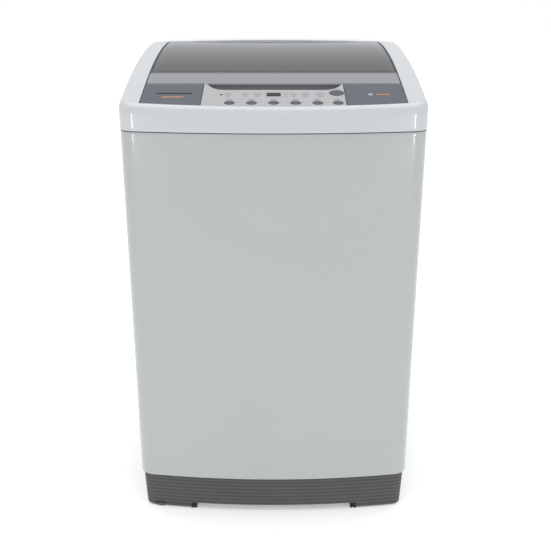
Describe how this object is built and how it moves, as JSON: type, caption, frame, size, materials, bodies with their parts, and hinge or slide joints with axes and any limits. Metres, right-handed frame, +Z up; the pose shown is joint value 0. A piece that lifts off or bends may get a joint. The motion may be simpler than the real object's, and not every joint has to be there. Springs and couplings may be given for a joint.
{
  "type": "top load washing machine",
  "caption": "Free-standing top load washing machine: bowed steel cabinet, smoked see-through lid, sloping button panel, hung tub, spinning basket, pulsator and belt drive.",
  "frame": {"origin": "the middle of the footprint, on the floor that the feet stand on", "axes": "+Z up, +X to the user's right, +Y to the back; the user stands at -Y"},
  "size_m": [0.54, 0.54, 0.8825],
  "materials": {
    "enamel": "gloss enamel, light bluish grey",
    "white_plastic": "satin gloss white",
    "panel_grey": "satin light grey",
    "insert_grey": "satin dark grey",
    "display_black": "gloss black window",
    "button_grey": "satin mid grey",
    "lid_silver": "silver-grey paint",
    "smoked_acrylic": "smoked, see-through",
    "zinc_steel": "zinc plated",
    "spring_steel": "drawn wire",
    "base_grey": "fine grain dark grey",
    "rubber": "matt black",
    "tub_plastic": "filled polypropylene",
    "stainless": "bright rolled stainless",
    "pulsator_plastic": "pale blue-grey",
    "cast_aluminium": "as cast",
    "motor_black": "black paint"
  },
  "bodies": {
    "cabinet": {"cabinet": "enamel", "rear_cover": "enamel", "top_cover": "white_plastic", "hinge_cover": "white_plastic", "mouth_deck": "white_plastic", "panel_housing": "panel_grey", "panel_insert_left": "insert_grey", "panel_insert_right": "insert_grey", "display_window": "display_black", "lid_hinge_rod": "zinc_steel", "base_frame": "base_grey", "drawer_housing": "white_plastic", "inlet_valve": "tub_plastic", "level_sensor": "white_plastic", "power_gland": "rubber", "drain_outlet": "tub_plastic", "inner_drain_hose": "rubber", "foot_pad_front_left": "rubber", "foot_pad_front_right": "rubber", "foot_pad_rear_left": "rubber", "foot_pad_rear_right": "rubber", "suspension_rod_front_left": "zinc_steel", "suspension_rod_front_right": "zinc_steel", "suspension_rod_rear_left": "zinc_steel", "suspension_rod_rear_right": "zinc_steel", "suspension_spring_front_left": "spring_steel", "suspension_spring_front_right": "spring_steel", "suspension_spring_rear_left": "spring_steel", "suspension_spring_rear_right": "spring_steel"},
    "lid": {"lid_frame": "lid_silver", "lid_glass": "smoked_acrylic"},
    "tub": {"outer_tub": "tub_plastic", "tub_cover": "tub_plastic", "mounting_plate": "zinc_steel", "clutch_housing": "cast_aluminium", "motor_body": "motor_black", "drive_belt": "rubber", "drain_valve": "tub_plastic", "drain_actuator": "tub_plastic"},
    "basket": {"basket_drum": "stainless", "basket_base": "tub_plastic", "balance_ring": "white_plastic", "basket_hub": "cast_aluminium", "lint_filter": "tub_plastic"},
    "pulsator": {"pulsator": "pulsator_plastic", "drive_shaft": "zinc_steel"},
    "clutch_pulley": {"clutch_pulley": "cast_aluminium"},
    "motor_pulley": {"motor_pulley": "cast_aluminium"},
    "brake_lever": {"brake_lever": "zinc_steel"},
    "pull_rod": {"pull_rod": "zinc_steel"},
    "detergent_drawer": {"detergent_drawer": "white_plastic"},
    "level_foot_nut": {"level_foot_nut": "zinc_steel"},
    "level_foot": {"level_foot": "base_grey"},
    "start_button": {"start_button": "button_grey"},
    "button_1": {"button_1": "button_grey"},
    "button_2": {"button_2": "button_grey"},
    "button_3": {"button_3": "button_grey"},
    "button_4": {"button_4": "button_grey"},
    "button_5": {"button_5": "button_grey"},
    "button_6": {"button_6": "button_grey"}
  },
  "joints": [
    {"name": "lid_hinge", "type": "hinge", "parent": "cabinet", "child": "lid", "pos_m": [0, 0.2275, 0.86826], "axis": [-1, 0, 0], "range_deg": [0, 95]},
    {"name": "button_1_press", "type": "slide", "parent": "cabinet", "child": "button_1", "axis": [0, 0.1854, -0.9827], "range_m": [0, 0.0012], "stiffness_N_per_m": 900, "springref_m": -0.0004},
    {"name": "button_2_press", "type": "slide", "parent": "cabinet", "child": "button_2", "axis": [0, 0.1854, -0.9827], "range_m": [0, 0.0012], "stiffness_N_per_m": 900, "springref_m": -0.0004},
    {"name": "button_3_press", "type": "slide", "parent": "cabinet", "child": "button_3", "axis": [0, 0.1854, -0.9827], "range_m": [0, 0.0012], "stiffness_N_per_m": 900, "springref_m": -0.0004},
    {"name": "button_4_press", "type": "slide", "parent": "cabinet", "child": "button_4", "axis": [0, 0.1854, -0.9827], "range_m": [0, 0.0012], "stiffness_N_per_m": 900, "springref_m": -0.0004},
    {"name": "button_5_press", "type": "slide", "parent": "cabinet", "child": "button_5", "axis": [0, 0.1854, -0.9827], "range_m": [0, 0.0012], "stiffness_N_per_m": 900, "springref_m": -0.0004},
    {"name": "button_6_press", "type": "slide", "parent": "cabinet", "child": "button_6", "axis": [0, 0.1854, -0.9827], "range_m": [0, 0.0012], "stiffness_N_per_m": 900, "springref_m": -0.0004},
    {"name": "start_button_press", "type": "slide", "parent": "cabinet", "child": "start_button", "axis": [0, 0.2091, -0.9779], "range_m": [0, 0.0014], "stiffness_N_per_m": 900, "springref_m": -0.0004},
    {"name": "drawer_slide", "type": "slide", "parent": "cabinet", "child": "detergent_drawer", "axis": [0, -1, 0], "range_m": [0, 0.055]},
    {"name": "tub_suspension", "type": "slide", "parent": "cabinet", "child": "tub", "axis": [0, 0, 1], "range_m": [-0.03, 0.008], "stiffness_N_per_m": 12000, "springref_m": 0.0219, "deforming": ["suspension_spring_front_left", "suspension_spring_front_right", "suspension_spring_rear_left", "suspension_spring_rear_right", "inner_drain_hose"]},
    {"name": "basket_spin", "type": "hinge", "parent": "tub", "child": "basket", "pos_m": [0, 0, 0.3], "axis": [0, 0, 1], "continuous": true},
    {"name": "pulsator_turn", "type": "hinge", "parent": "tub", "child": "pulsator", "pos_m": [0, 0, 0.3], "axis": [0, 0, 1], "continuous": true},
    {"name": "clutch_pulley_turn", "type": "hinge", "parent": "tub", "child": "clutch_pulley", "pos_m": [0, 0, 0.121], "axis": [0, 0, 1], "continuous": true},
    {"name": "motor_turn", "type": "hinge", "parent": "tub", "child": "motor_pulley", "pos_m": [0, -0.15, 0.121], "axis": [0, 0, 1], "continuous": true},
    {"name": "pull_rod_slide", "type": "slide", "parent": "tub", "child": "pull_rod", "axis": [-1, 0, 0], "range_m": [0, 0.012]},
    {"name": "brake_lever_turn", "type": "hinge", "parent": "tub", "child": "brake_lever", "pos_m": [0.03, 0.07, 0.209], "axis": [0, 0, 1], "range_deg": [0, 23]},
    {"name": "level_foot_nut_turn", "type": "hinge", "parent": "cabinet", "child": "level_foot_nut", "pos_m": [-0.2295, -0.2225, 0.0409], "axis": [0, 0, 1], "continuous": true},
    {"name": "level_foot_screw", "type": "slide", "parent": "cabinet", "child": "level_foot", "axis": [0, 0, -1], "range_m": [0, 0.012]}
  ],
  "couplings": [
    {"joint": "motor_turn", "follows": "clutch_pulley_turn", "ratio": 2.9097},
    {"joint": "brake_lever_turn", "follows": "pull_rod_slide", "rad_per_m": 31.998}
  ]
}
